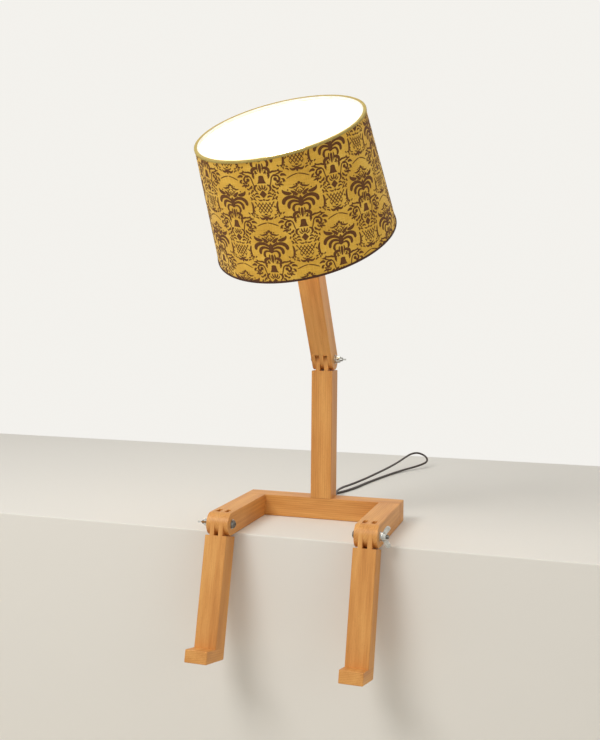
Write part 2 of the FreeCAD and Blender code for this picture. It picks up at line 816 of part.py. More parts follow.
def make_bulb_stem():
    base = bulb_base + bulb_tip_height + bulb_cap_wall
    stem = rod(V(0, 0, base), AXIS_Z, bulb_cap_top - base + stem_length, stem_radius)
    top = bulb_cap_top + stem_length
    for side in (-1, 1):
        foot = V(side * stem_radius / 2, 0, top - 1)
        tip = V(side * filament_reach, 0, top + filament_reach)
        stem = stem.fuse(rod(foot, tip - foot, (tip - foot).Length, filament_radius))
    start = V(-filament_reach - filament_radius, 0, top + filament_reach)
    return stem.fuse(rod(start, AXIS_X, 2 * (filament_reach + filament_radius), filament_radius))


# Shade

shade_bottom = shade_centre - shade_height / 2
shade_top = shade_centre + shade_height / 2


def shade_radius(height):
    """The cover's outer radius at a height."""
    share = (height - shade_bottom) / shade_height
    return shade_bottom_radius + (shade_top_radius - shade_bottom_radius) * share


def drum(outset, thickness, low, high):
    """A tapered band whose outer face lies a distance inside the cover's."""
    return turned([(shade_radius(low) - outset - thickness, low), (shade_radius(low) - outset, low),
                   (shade_radius(high) - outset, high), (shade_radius(high) - outset - thickness, high)])


lining_outset = cover_thickness + layer_gap
wire_outset = lining_outset + lining_thickness + layer_gap + wire_radius
bottom_wire_height = shade_bottom + wire_radius + layer_gap
top_wire_height = shade_top - wire_radius - layer_gap


def hoop(height):
    return Part.makeTorus(shade_radius(height) - wire_outset, wire_radius, V(0, 0, height), AXIS_Z)


def make_spider():
    """The clamped ring, its sloping arms and the lower hoop, welded into one."""
    frame = ring(spider_ring_radius, barrel_radius + spider_fit, spider_base, ring_nut_base)
    frame = frame.fuse(hoop(bottom_wire_height))
    middle = (spider_base + ring_nut_base) / 2
    reach = shade_radius(bottom_wire_height) - wire_outset
    for k in range(spider_arms):
        angle = 2 * math.pi * (k + 0.25) / spider_arms
        way = V(math.cos(angle), math.sin(angle), 0)
        start = way * spider_arm_start + V(0, 0, middle)
        end = way * reach + V(0, 0, bottom_wire_height)
        frame = frame.fuse(rod(start, end - start, (end - start).Length, wire_radius))
    return frame


def make_binding(at_top):
    """A folded tape over a rim, outside the cover and across the edge."""
    rim = shade_top if at_top else shade_bottom
    way = 1 if at_top else -1
    leg_end = rim - way * binding_leg
    edge = rim + way * (layer_gap + binding_thickness)
    under = rim + way * layer_gap
    inner = shade_radius(rim) - wire_outset
    outside = layer_gap + binding_thickness
    return turned([
        (shade_radius(leg_end) + layer_gap, leg_end), (shade_radius(leg_end) + outside, leg_end),
        (shade_radius(rim) + outside, edge), (inner, edge), (inner, under),
        (shade_radius(rim) + layer_gap, under),
    ])


# Every piece, by its node's name

def side_name(side):
    return "left" if side < 0 else "right"


nodes = {
    "hip_bar": make_hip_bar(),
    "torso_post": make_post(),
    "neck": make_neck(),
    "thigh_dowels": group([laid(dowel(thigh_dowel_radius, thigh_dowel_length), place)
                           for place in thigh_dowel_places]),
    "post_dowels": group([placed(dowel(post_dowel_radius, post_dowel_length), place)
                          for place in post_dowel_places]),
    "waist_bolt": on_waist(make_bolt()),
    "waist_washers": on_waist(make_washers()),
    "waist_wing_nut": on_waist(make_wing_nut(waist_wing_angle)),
    "cord_gland": make_gland(),
    "post_bush": laid(make_bush(), V(0, half, post_hole_height)),
    "neck_bush": on_neck(laid(make_bush(), V(0, half, neck_hole_height))),
    "post_lead": make_post_lead(),
    "waist_lead": make_waist_loop(),
    "neck_lead": make_neck_lead(),
    "holder_nipple": on_head(make_nipple()),
    "holder_plate": on_head(make_seat_plate()),
    "holder_cap": on_head(make_holder_cap()),
    "holder_nut": on_head(make_holder_nut()),
    "holder_barrel": on_head(make_barrel()),
    "shade_ring_nut": on_head(make_ring_nut()),
    "holder_insert": on_head(make_insert()),
    "screw_shell": on_head(make_screw_shell()),
    "centre_contact": on_head(make_centre_contact()),
    "switch_block": on_head(make_switch_block()),
    "switch_bar": on_head(make_switch_bar()),
    "terminal_screws": on_head(make_terminals()),
    "bulb_cap": on_head(make_bulb_cap()),
    "bulb_glass": on_head(make_bulb_glass()),
    "bulb_stem": on_head(make_bulb_stem()),
    "shade_cover": on_head(drum(0, cover_thickness, shade_bottom, shade_top)),
    "shade_lining": on_head(drum(lining_outset, lining_thickness, shade_bottom, shade_top)),
    "shade_spider": on_head(make_spider()),
    "shade_top_hoop": on_head(hoop(top_wire_height)),
    "shade_top_binding": on_head(make_binding(True)),
    "shade_bottom_binding": on_head(make_binding(False)),
    "cord_run": tube(cord_points, "cord run"),
    "cord_coil": make_coil(),
    "cord_tail": tube(tail_points, "cord tail"),
    "plug_body": make_plug_body(),
    "plug_pins": make_plug_pins(),
}
for side in (-1, 1):
    name = side_name(side)
    nodes[f"{name}_thigh"] = make_thigh(side)
    nodes[f"{name}_shin"] = make_shin(side)
    nodes[f"{name}_foot"] = make_foot(side)
    nodes[f"{name}_foot_dowels"] = group([
        on_leg(placed(dowel(foot_dowel_radius, foot_dowel_length), place), side)
        for place in foot_dowel_places])
    nodes[f"{name}_knee_bolt"] = on_knee(make_bolt(), side)
    nodes[f"{name}_knee_washers"] = on_knee(make_washers(), side)
    nodes[f"{name}_knee_wing_nut"] = on_knee(make_wing_nut(knee_wing_angles[side]), side)

os.makedirs("parts", exist_ok=True)
for name, shape in nodes.items():
    if not shape.isValid():
        print("not valid:", name)
    shape.exportStep(f"parts/{name}.step")
print(len(nodes), "nodes")
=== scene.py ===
import math

import bpy
from mathutils import Matrix, Vector


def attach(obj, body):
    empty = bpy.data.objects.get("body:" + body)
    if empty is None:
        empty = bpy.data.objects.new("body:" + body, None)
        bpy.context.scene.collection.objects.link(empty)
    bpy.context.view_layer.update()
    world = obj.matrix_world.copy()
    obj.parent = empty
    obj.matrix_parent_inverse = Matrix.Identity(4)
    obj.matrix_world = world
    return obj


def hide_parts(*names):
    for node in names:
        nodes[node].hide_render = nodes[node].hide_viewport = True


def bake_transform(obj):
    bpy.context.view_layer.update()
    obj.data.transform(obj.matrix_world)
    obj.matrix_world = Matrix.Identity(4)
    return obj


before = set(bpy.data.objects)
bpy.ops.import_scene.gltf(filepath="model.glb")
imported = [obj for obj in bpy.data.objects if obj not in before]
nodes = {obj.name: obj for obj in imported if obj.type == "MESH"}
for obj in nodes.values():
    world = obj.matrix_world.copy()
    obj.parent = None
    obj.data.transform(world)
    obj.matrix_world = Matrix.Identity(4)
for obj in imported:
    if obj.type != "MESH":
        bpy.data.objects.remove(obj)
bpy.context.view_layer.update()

# A desk lamp of square beech sticks, seated like a small figure on the edge of a table, with a lit drum
# shade for its head. Metres; the origin is on the table top under the middle of the hip bar.

MM = 0.001

# Sizes that the pieces made here share with the wooden frame and the shade's wires
WAIST = Vector((0, 0, 0.212))
NECK_LENGTH = 200 * MM
NECK_LEAN = math.radians(32)
HEAD_CANT = math.radians(4.2)
SHIN_SWING = math.radians(14)
SHADE_LOW = -22 * MM
SHADE_HIGH = 118 * MM
SHADE_LOW_RADIUS = 110 * MM
SHADE_HIGH_RADIUS = 99 * MM
CLOTH = 0.5 * MM
CORD = 3.5 * MM


# Placing

def on_neck(x, y, z):
    """A point of the neck's own frame, its axis up from the waist hinge, in the lamp's frame."""
    return WAIST + Matrix.Rotation(NECK_LEAN, 3, "X") @ Vector((x, y, z))


HEAD = (Matrix.Translation(WAIST) @ Matrix.Rotation(NECK_LEAN, 4, "X")
        @ Matrix.Translation((0, 0, NECK_LENGTH)) @ Matrix.Rotation(-HEAD_CANT, 4, "Y"))


def take(piece):
    """Makes a piece the only one selected."""
    bpy.ops.object.select_all(action="DESELECT")
    piece.select_set(True)
    bpy.context.view_layer.objects.active = piece


def smooth(piece, angle):
    take(piece)
    bpy.ops.object.shade_smooth_by_angle(angle=math.radians(angle))


def linked(name, data):
    """A new object in the scene."""
    piece = bpy.data.objects.new(name, data)
    bpy.context.scene.collection.objects.link(piece)
    return piece


# Finishes

def paint(code):
    """A colour written as sRGB hex, in the linear values that the shaders take."""
    parts = [int(code[k:k + 2], 16) / 255 for k in (1, 3, 5)]
    return tuple(c / 12.92 if c <= 0.04045 else ((c + 0.055) / 1.055) ** 2.4 for c in parts) + (1.0,)


def finish_named(name):
    """A new material, with its shader ready for colour and roughness."""
    made = bpy.data.materials.new(name)
    made.use_nodes = True
    tree = made.node_tree
    return made, tree, tree.nodes["Principled BSDF"]


def add(tree, kind, sockets=None, stops=None, **settings):
    """Adds a node. A socket gets a value, or a link where another node's output is given."""
    made = tree.nodes.new(kind)
    for name, value in settings.items():
        setattr(made, name, value)
    for socket, value in (sockets or {}).items():
        if isinstance(value, bpy.types.NodeSocket):
            tree.links.new(value, made.inputs[socket])
        else:
            made.inputs[socket].default_value = value
    for k, (place, value) in enumerate(stops or []):
        marks = made.color_ramp.elements
        mark = marks[k] if k < 2 else marks.new(place)
        mark.position = place
        mark.color = value
    return made


def beech(name, turn, shift, light="#E6AC60", mid="#D19047", dark="#B36F2C"):
    """Oiled beech, planed: a warm, even honey tone with fine straight streaks, faint growth bands and the
    short dark flecks of its rays. The grain runs along the stick, which the turn brings upright."""
    made, tree, shader = finish_named(name)
    place = add(tree, "ShaderNodeTexCoord").outputs["Object"]
    along_stick = add(tree, "ShaderNodeMapping", {"Vector": place, "Rotation": turn}).outputs[0]
    moved = add(tree, "ShaderNodeVectorMath", {0: along_stick, 1: shift}, operation="ADD").outputs[0]
    # growth bands 2.6 mm apart, round a pith that lies outside the stick
    slow = add(tree, "ShaderNodeVectorMath", {0: moved, 1: (1.0, 1.0, 0.14)}, operation="MULTIPLY").outputs[0]
    bands = add(tree, "ShaderNodeTexWave", {"Vector": slow, "Scale": 120.0, "Distortion": 2.2, "Detail": 2.0,
                                            "Detail Scale": 0.35, "Detail Roughness": 0.5},
                wave_type="RINGS", rings_direction="Z").outputs["Fac"]
    # fibres about 0.8 mm wide and 30 mm long
    drawn = add(tree, "ShaderNodeVectorMath", {0: moved, 1: (1.0, 1.0, 0.028)}, operation="MULTIPLY").outputs[0]
    fibres = add(tree, "ShaderNodeTexNoise", {"Vector": drawn, "Scale": 1200.0, "Detail": 4.0,
                                              "Roughness": 0.62}).outputs["Fac"]
    # slow change of tone along the plank
    cloud = add(tree, "ShaderNodeTexNoise", {"Vector": slow, "Scale": 62.0, "Detail": 2.0}).outputs["Fac"]
    streak = add(tree, "ShaderNodeMapRange", {"Value": fibres, "From Min": 0.30, "From Max": 0.70,
                                              "To Min": -0.13, "To Max": 0.13}).outputs[0]
    band = add(tree, "ShaderNodeMapRange", {"Value": bands, "To Min": -0.06, "To Max": 0.06}).outputs[0]
    tone = add(tree, "ShaderNodeMapRange", {"Value": cloud, "From Min": 0.3, "From Max": 0.7,
                                            "To Min": 0.34, "To Max": 0.70}).outputs[0]
    mixed = add(tree, "ShaderNodeMath", {0: streak, 1: band}, operation="ADD").outputs[0]
    mixed = add(tree, "ShaderNodeMath", {0: mixed, 1: tone}, operation="ADD").outputs[0]
    colour = add(tree, "ShaderNodeValToRGB", {"Fac": mixed},
                 stops=[(0.12, paint(dark)), (0.88, paint(light)), (0.5, paint(mid))]).outputs["Color"]
    # ray flecks about 0.4 mm wide and 3 mm long
    short = add(tree, "ShaderNodeVectorMath", {0: moved, 1: (1.0, 1.0, 0.15)}, operation="MULTIPLY").outputs[0]
    specks = add(tree, "ShaderNodeTexNoise", {"Vector": short, "Scale": 2300.0, "Detail": 1.0}).outputs["Fac"]
    fleck = add(tree, "ShaderNodeMapRange", {"Value": specks, "From Min": 0.64, "From Max": 0.72,
                                             "To Min": 0.0, "To Max": 0.28}).outputs[0]
    grain = add(tree, "ShaderNodeMix", {0: fleck, 6: colour, 7: paint("#96602C")}, data_type="RGBA")
    tree.links.new(grain.outputs[2], shader.inputs["Base Color"])
    rough = add(tree, "ShaderNodeMapRange", {"Value": fibres, "To Min": 0.40, "To Max": 0.58}).outputs[0]
    tree.links.new(rough, shader.inputs["Roughness"])
    height = add(tree, "ShaderNodeMath", {0: fibres, 1: fleck}, operation="SUBTRACT").outputs[0]
    bump = add(tree, "ShaderNodeBump", {"Height": height, "Strength": 0.16, "Distance": 0.0002}).outputs[0]
    tree.links.new(bump, shader.inputs["Normal"])
    shader.inputs["IOR"].default_value = 1.5
    return made


# Cotton of this kind has threads about 0.45 mm apart; they are drawn 0.9 mm apart so that they show
THREADS = 0.9 * MM
TAPE_RIBS = 1.6 * MM


def bands_apart(distance):
    """The scale at which a wave texture's straight bands stand this far apart."""
    return math.pi / (10 * distance)


def weave(tree):
    """The cloth's own UV map, in metres on the flat cut cloth, and a plain weave's height and slubs on it."""
    flat = add(tree, "ShaderNodeUVMap", uv_map="cloth").outputs[0]
    waves = []
    for direction in ("X", "Y"):
        waves.append(add(tree, "ShaderNodeTexWave", {"Vector": flat, "Scale": bands_apart(THREADS),
                                                     "Distortion": 0.0},
                         wave_type="BANDS", bands_direction=direction).outputs["Fac"])
    over = add(tree, "ShaderNodeTexChecker", {"Vector": flat, "Scale": 1 / THREADS}).outputs["Fac"]
    height = add(tree, "ShaderNodeMix", {0: over, 2: waves[0], 3: waves[1]}).outputs[0]
    slubs = []
    for stretch in ((1.0, 0.05, 1.0), (0.05, 1.0, 1.0)):
        pulled = add(tree, "ShaderNodeVectorMath", {0: flat, 1: stretch}, operation="MULTIPLY").outputs[0]
        slubs.append(add(tree, "ShaderNodeTexNoise", {"Vector": pulled, "Scale": 900.0,
                                                      "Detail": 2.0}).outputs["Fac"])
    slub = add(tree, "ShaderNodeMix", {0: over, 2: slubs[0], 3: slubs[1]}).outputs[0]
    return flat, height, slub


def ochre_cotton():
    """The shade's cloth: mercerised cotton dyed a golden ochre, with a little sheen and uneven threads. It
    glows faintly, because the lamp inside is lit."""
    made, tree, shader = finish_named("ochre_cotton_cloth")
    flat, height, slub = weave(tree)
    cloud = add(tree, "ShaderNodeTexNoise", {"Vector": flat, "Scale": 26.0, "Detail": 3.0}).outputs["Fac"]
    both = add(tree, "ShaderNodeMath", {0: slub, 1: cloud}, operation="ADD").outputs[0]
    tone = add(tree, "ShaderNodeMath", {0: both, 1: 0.5}, operation="MULTIPLY").outputs[0]
    colour = add(tree, "ShaderNodeValToRGB", {"Fac": tone},
                 stops=[(0.30, paint("#C08E2A")), (0.68, paint("#F0C75A")), (0.5, paint("#DEAD3C"))])
    # painted shade between the threads and a faint painted highlight on their tops: the colour is darker where
    # the weave sits low
    shade = add(tree, "ShaderNodeMapRange", {"Value": height, "To Min": 0.82, "To Max": 1.06}).outputs[0]
    lit = add(tree, "ShaderNodeMix", {0: 1.0, 6: colour.outputs["Color"], 7: shade}, data_type="RGBA",
              blend_type="MULTIPLY")
    tree.links.new(lit.outputs[2], shader.inputs["Base Color"])
    tree.links.new(lit.outputs[2], shader.inputs["Emission Color"])
    shader.inputs["Emission Strength"].default_value = 0.14
    shader.inputs["Roughness"].default_value = 0.78
    shader.inputs["Sheen Weight"].default_value = 0.12
    shader.inputs["Sheen Roughness"].default_value = 0.4
    bump = add(tree, "ShaderNodeBump", {"Height": height, "Strength": 0.35, "Distance": 0.00012}).outputs[0]
    tree.links.new(bump, shader.inputs["Normal"])
    return made


def brown_ink():
    """The dark brown print: matt pigment that sinks between the threads, a little worn on their tops."""
    made, tree, shader = finish_named("brown_pigment_print")
    _, height, slub = weave(tree)
    wear =add(tree, "ShaderNodeMath", {0: height, 1: slub}, operation="MULTIPLY").outputs[0]
    colour = add(tree, "ShaderNodeValToRGB", {"Fac": wear},
                 stops=[(0.10, paint("#552F0A")), (0.75, paint("#8A5618"))]).outputs["Color"]
    tree.links.new(colour, shader.inputs["Base Color"])
    shader.inputs["Roughness"].default_value = 0.82
    bump = add(tree, "ShaderNodeBump", {"Height": height, "Strength": 0.3, "Distance": 0.0001}).outputs[0]
    tree.links.new(bump, shader.inputs["Normal"])
    return made


def tape(name, light, dark):
    """Woven edge tape: a dry matt band, its fine ribs across the rim and its colour a little worn."""
    made, tree, shader = finish_named(name)
    flat = add(tree, "ShaderNodeUVMap", uv_map="cloth").outputs[0]
    ribs = add(tree, "ShaderNodeTexWave", {"Vector": flat, "Scale": bands_apart(TAPE_RIBS), "Distortion": 0.6},
               wave_type="BANDS", bands_direction="X").outputs["Fac"]
    worn = add(tree, "ShaderNodeTexNoise", {"Vector": flat, "Scale": 160.0, "Detail": 3.0}).outputs["Fac"]
    both = add(tree, "ShaderNodeMath", {0: ribs, 1: worn}, operation="MULTIPLY").outputs[0]
    colour = add(tree, "ShaderNodeValToRGB", {"Fac": both},
                 stops=[(0.05, paint(dark)), (0.6, paint(light))]).outputs["Color"]
    tree.links.new(colour, shader.inputs["Base Color"])
    shader.inputs["Roughness"].default_value = 0.8
    bump = add(tree, "ShaderNodeBump", {"Height": ribs, "Strength": 0.4, "Distance": 0.00015}).outputs[0]
    tree.links.new(bump, shader.inputs["Normal"])
    return made


def speckled(name, low, high, size, rough, bump_depth=0.0, **values):
    """A moulded, cast or plated finish: two close tones in patches of a real size, and fine unevenness."""
    made, tree, shader = finish_named(name)
    place = add(tree, "ShaderNodeTexCoord").outputs["Object"]
    patches = add(tree, "ShaderNodeTexNoise", {"Vector": place, "Scale": 1 / size,
                                               "Detail": 4.0}).outputs["Fac"]
    colour = add(tree, "ShaderNodeValToRGB", {"Fac": patches},
                 stops=[(0.35, paint(low)), (0.65, paint(high))]).outputs["Color"]
    tree.links.new(colour, shader.inputs["Base Color"])
    dull = add(tree, "ShaderNodeMapRange", {"Value": patches, "From Min": 0.3, "From Max": 0.7,
                                            "To Min": rough[0], "To Max": rough[1]}).outputs[0]
    tree.links.new(dull, shader.inputs["Roughness"])
    if bump_depth:
        fine = add(tree, "ShaderNodeTexNoise", {"Vector": place, "Scale": 6 / size,
                                                "Detail": 2.0}).outputs["Fac"]
        bump = add(tree, "ShaderNodeBump", {"Height": fine, "Strength": 0.25,
                                            "Distance": bump_depth}).outputs[0]
        tree.links.new(bump, shader.inputs["Normal"])
    for socket, value in values.items():
        shader.inputs[socket.replace("_", " ")].default_value = value
    return made


def dress(finish, *names):
    """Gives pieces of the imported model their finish."""
    for name in names:
        nodes[name].data.materials.clear()
        nodes[name].data.materials.append(finish)


# Wood: each stick is cut from its own place in the plank, and its grain runs along it

right_angle = math.pi / 2
leg_turn = -(math.pi - SHIN_SWING)
sticks = {
    "hip_bar": ((0, -right_angle, 0), (0.060, 0.031, 0.10)),
    "left_thigh": ((right_angle, 0, 0), (0.150, -0.020, 0.37)),
    "right_thigh": ((right_angle, 0, 0), (-0.045, 0.048, 0.81)),
    "torso_post": ((0, 0, 0), (0.052, 0.046, 0.23)),
    "neck": ((-NECK_LEAN, 0, 0), (0.047, 0.058, 0.64)),
    "left_shin": ((leg_turn, 0, 0), (0.141, 0.052, 0.15)),
    "right_shin": ((leg_turn, 0, 0), (-0.040, 0.061, 0.55)),
    "left_foot": ((leg_turn + right_angle, 0, 0), (0.120, 0.030, 0.91)),
    "right_foot": ((leg_turn + right_angle, 0, 0), (-0.060, 0.036, 0.47)),
}
for name, (turn, shift) in sticks.items():
    dress(beech("oiled_beech_" + name, turn, shift), name)
# the dowels are drier and a little paler than the oiled sticks
dowel_turns = {"thigh_dowels": (right_angle, 0, 0), "post_dowels": (0, 0, 0),
               "left_foot_dowels": (leg_turn, 0, 0), "right_foot_dowels": (leg_turn, 0, 0)}
for name, turn in dowel_turns.items():
    dress(beech("dry_beech_" + name, turn, (0.03, 0.02, 0.5), "#ECC08A", "#DCA76C", "#C48C50"), name)

# Hardware, lampholder and bulb

# bright zinc plate: a cool, softly mirrored silver, cloudy where the plating bath left it
zinc = speckled("bright_zinc_plated_steel", "#B4B4AF", "#D8D8D4", 0.004, (0.16, 0.30), 0.00004, Metallic=1.0)
dress(zinc, "waist_wing_nut", "left_knee_wing_nut", "right_knee_wing_nut",
      "waist_washers", "left_knee_washers", "right_knee_washers", "holder_plate", "holder_nipple", "holder_nut")
# the bolts are greyer and duller; their grey is darker as painted shade and a painted dark reflection, for
# heads that face away from the light
shade_darkened_bolt_steel = speckled("dull_zinc_bolt_painted_dark", "#5F5D58", "#8D8B85", 0.003, (0.30, 0.48), 0.00004, Metallic=1.0)
dress(shade_darkened_bolt_steel, "waist_bolt", "left_knee_bolt", "right_knee_bolt")
# nickel plate: a warm silver with a soft shine
nickel = speckled("nickel_plated_brass", "#B8B3A6", "#D6D2C6", 0.003, (0.18, 0.32), 0.00003, Metallic=1.0)
dress(nickel, "plug_pins", "screw_shell", "bulb_cap")
# bare brass, slightly tarnished in patches
dress(speckled("bare_brass", "#B08A45", "#CFAA62", 0.002, (0.25, 0.4), 0.00003, Metallic=1.0),
      "centre_contact", "terminal_screws")
# moulded phenolic: a glossy off-white with the faint flow marks of the mould
dress(speckled("white_moulded_phenolic", "#E2DED2", "#EFECE2", 0.009, (0.28, 0.38), 0.00003, IOR=1.55),
      "holder_cap", "holder_barrel", "shade_ring_nut", "switch_block", "switch_bar")
# glazed porcelain: whiter and much glossier than the plastic
dress(speckled("glazed_porcelain", "#E8E5DB", "#F3F1EA", 0.006, (0.10, 0.18), 0.00002, IOR=1.6),
      "holder_insert")
# nitrile rubber: dull near-black with a fine dusty grain
dress(speckled("black_nitrile_rubber", "#17150F", "#25221B", 0.004, (0.55, 0.7), 0.00006, IOR=1.52),
      "cord_gland", "post_bush", "neck_bush")
# powder coat on the shade's wires: satin white with a slight orange peel
dress(speckled("white_powder_coated_wire", "#DEDBD2", "#ECEAE2", 0.005, (0.35, 0.5), 0.00003),
      "shade_spider", "shade_top_hoop")
# flexible PVC: dark brown with a low greasy shine
brown_pvc = speckled("brown_flexible_pvc", "#23150D", "#332016", 0.012, (0.38, 0.52), 0.00005, IOR=1.53)
dress(brown_pvc, "plug_body", "post_lead", "neck_lead")
# the bulb's inner stem: clear glass
dress(speckled("clear_glass_stem", "#D9DCD8", "#EEF0EC", 0.004, (0.03, 0.08), 0.0, Transmission_Weight=0.9,
               IOR=1.47), "bulb_stem")
# the lamp is lit: the frosted globe glows warm white, and the styrene lining glows too, a painted glow for the
# bulb's light that it throws back
dress(speckled("frosted_glass_lit", "#FFF2D8", "#FFF8EA", 0.010, (0.45, 0.6), 0.0, IOR=1.5,
               Emission_Color=paint("#FFE7BE"), Emission_Strength=14.0), "bulb_glass")
dress(speckled("white_styrene_lining_lit", "#F6EEDC", "#FFF9EC", 0.012, (0.5, 0.62), 0.00003, IOR=1.59,
               Emission_Color=paint("#FFF1D2"), Emission_Strength=0.3), "shade_lining")


# Shade: the cloth is cut flat and rolled round the frame. On the flat cloth a point is given by its angle
# round the drum, counted from where the print stands upright, and its height up the drum's axis.

HALF_ANGLE = math.atan((SHADE_LOW_RADIUS - SHADE_HIGH_RADIUS) / (SHADE_HIGH - SHADE_LOW))
APEX = SHADE_LOW + SHADE_LOW_RADIUS / math.tan(HALF_ANGLE)
UPRIGHT = math.radians(-116)
LAP = math.radians(5)
SWEEP = 2 * math.pi + LAP
# where the cloth's end starts to climb over its start, and over how much of a turn, in degrees
CLIMB_START, CLIMB_SWEEP = 166, 12
LAP_ROOM = 0.08 * MM


def drum_radius(height):
    return (APEX - height) * math.tan(HALF_ANGLE)


def rolled(angle, height, lift=0.0):
    """A point of the cloth round the drum, in the lamp's frame; the last of it laps over its start."""
    share = min(max((math.degrees(angle) - CLIMB_START) / CLIMB_SWEEP, 0.0), 1.0)
    radius = drum_radius(height) + lift + (CLOTH + LAP_ROOM) * share * share * (3 - 2 * share)
    around = UPRIGHT + angle
    return HEAD @ Vector((radius * math.cos(around), radius * math.sin(around), height))


def on_cut(angle, height):
    """Where that point lay on the flat cut cloth, in metres."""
    reach = (APEX - height) / math.cos(HALF_ANGLE)
    turn = angle * math.sin(HALF_ANGLE)
    low = (APEX - SHADE_LOW) / math.cos(HALF_ANGLE)
    return reach * math.sin(turn), low - reach * math.cos(turn)


def off_cut(x, y):
    """The angle and height of a point of the flat cut cloth."""
    low = (APEX - SHADE_LOW) / math.cos(HALF_ANGLE)
    reach = math.hypot(x, low - y)
    return math.atan2(x, low - y) / math.sin(HALF_ANGLE), APEX - reach * math.cos(HALF_ANGLE)


def roll_up(piece, places, lift=0.0):
    """Rolls a flat mesh round the drum and keeps its flat place as its UV map."""
    mesh = piece.data
    cloth = mesh.uv_layers.get("cloth") or mesh.uv_layers.new(name="cloth")
    for loop in mesh.loops:
        cloth.data[loop.index].uv = on_cut(*places[loop.vertex_index])
    for vertex in mesh.vertices:
        vertex.co = rolled(*places[vertex.index], lift)
    mesh.update()


bpy.ops.mesh.primitive_grid_add(x_subdivisions=240, y_subdivisions=4, size=1)
cover = bpy.context.object
cover.name = "shade_cloth"
roll_up(cover, [(-math.pi + (v.co.x + 0.5) * SWEEP, SHADE_LOW + (v.co.y + 0.5) * (SHADE_HIGH - SHADE_LOW))
                for v in cover.data.vertices])
take(cover)
bpy.ops.object.mode_set(mode="EDIT")
bpy.ops.mesh.select_all(action="SELECT")
bpy.ops.mesh.normals_make_consistent(inside=False)
bpy.ops.object.mode_set(mode="OBJECT")
thick = cover.modifiers.new("thickness", "SOLIDIFY")
thick.thickness = CLOTH
thick.offset = -1
bpy.ops.object.modifier_apply(modifier=thick.name)
smooth(cover, 40)
cover.data.materials.append(ochre_cotton())
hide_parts("shade_cover")
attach(cover, "neck")


# The print: a traditional damask. Palmettes stand on clear ground under pointed roofs, with bells, shields
# and panels of lace between them. Each stroke is a ribbon through a few points. Millimetres, y up, with the
# origin in a palmette's bud; the whole print is turned a little on the cloth.

REPEAT_ACROSS = 78.6
REPEAT_DOWN = 102.0
PRINT_TURN = math.radians(-2.8)
FIRST_PALMETTE = (9.2, 95.2)
BELL_DROP = 24.0
HEM = 0.8 * MM
PRINT_LIFT = 0.14 * MM
# a palmette this far past a rim or round the drum prints nothing: the motif reaches 30 mm up and 71 mm down
CLEAR_BELOW = 53 * MM
CLEAR_ABOVE = 77 * MM
CLEAR_ROUND = math.radians(210)
# the unrolled print is laid out by angle and height for its cuts, one unit up for each decimetre
DECIMETRES = 10


# widths of a stroke along its length, from 0 at its start to 1 at its end

def leaf(t):
    return max(math.sin(math.pi * t ** 0.8), 0.0) ** 0.75


def swelling(t):
    return (0.46 + 0.54 * t) * math.sqrt(max(1 - t ** 6, 0.0))


def even(t):
    return min(1.0, 0.35 + 6 * t, 0.35 + 6 * (1 - t))


def curl(t):
    return 0.4 + 0.6 * t


def diamond(t):
    return 1 - abs(2 * t - 1) ** 0.85


def bud(t):
    return math.sqrt(1 - (1 - t / 0.42) ** 2) if t < 0.42 else 1 - ((t - 0.42) / 0.58) ** 1.6


def drop(t):
    return math.sqrt(max(4 * t * (1 - t), 0.0))


def dome(t):
    if t < 0.25:
        return 0.54 * math.sqrt(max(1 - (1 - t / 0.25) ** 2, 0.0))
    return 0.54 + 0.46 * ((t - 0.25) / 0.75) ** 1.8


def along(points, t):
    """A point of the smooth curve through points, and its direction there, at a share t of its way."""
    last = len(points) - 1
    k = min(int(t * last), last - 1)
    t = t * last - k
    four = [points[max(k - 1, 0)], points[k], points[k + 1], points[min(k + 2, last)]]
    place = ((-t ** 3 + 2 * t * t - t) / 2, (3 * t ** 3 - 5 * t * t + 2) / 2,
             (-3 * t ** 3 + 4 * t * t + t) / 2, (t ** 3 - t * t) / 2)
    slope = ((-3 * t * t + 4 * t - 1) / 2, (9 * t * t - 10 * t) / 2,
             (-9 * t * t + 8 * t + 1) / 2, (3 * t * t - 2 * t) / 2)
    x, y = (sum(p[axis] * w for p, w in zip(four, place)) for axis in (0, 1))
    dx, dy = (sum(p[axis] * w for p, w in zip(four, slope)) for axis in (0, 1))
    reach = math.hypot(dx, dy) or 1
    return x, y, dx / reach, dy / reach


def stroke(points, width, form=leaf, steps=None):
    """Left and right edge points of a ribbon through points, its width shaped along its length."""
    left, right = [], []
    steps = steps or 3 * (len(points) - 1) + 1
    for k in range(steps + 1):
        x, y, dx, dy = along(points, k / steps)
        half = max(form(k / steps) * width / 2, 0.05)
        left.append((x - dy * half, y + dx * half))
        right.append((x + dy * half, y - dx * half))
    return left, right


def dot(x, y, size, tall=1.0):
    return stroke([(x, y - size * tall / 2), (x, y + size * tall / 2)], size, drop, 8)


def sprig(points, count, length, width, lean):
    """Small bowed leaves along a line, to one side and the other of it, leaning a number of degrees."""
    made = []
    for k in range(count):
        x, y, dx, dy = along(points, (k + 0.5) / count)
        side = 1 if k % 2 else -1
        x, y = x - dy * side * 0.8, y + dx * side * 0.8
        angle = math.atan2(dy, dx) + side * math.radians(lean)
        dx, dy = length / 2 * math.cos(angle), length / 2 * math.sin(angle)
        bow = 0.25 * side
        made.append(stroke([(x - dx, y - dy), (x + dy * bow, y - dx * bow), (x + dx, y + dy)], width, leaf, 5))
    return made


def both_sides(strokes):
    """The strokes and their mirror images about the motif's upright middle line."""
    turned = [([(-x, y) for x, y in right], [(-x, y) for x, y in left]) for left, right in strokes]
    return strokes + turned


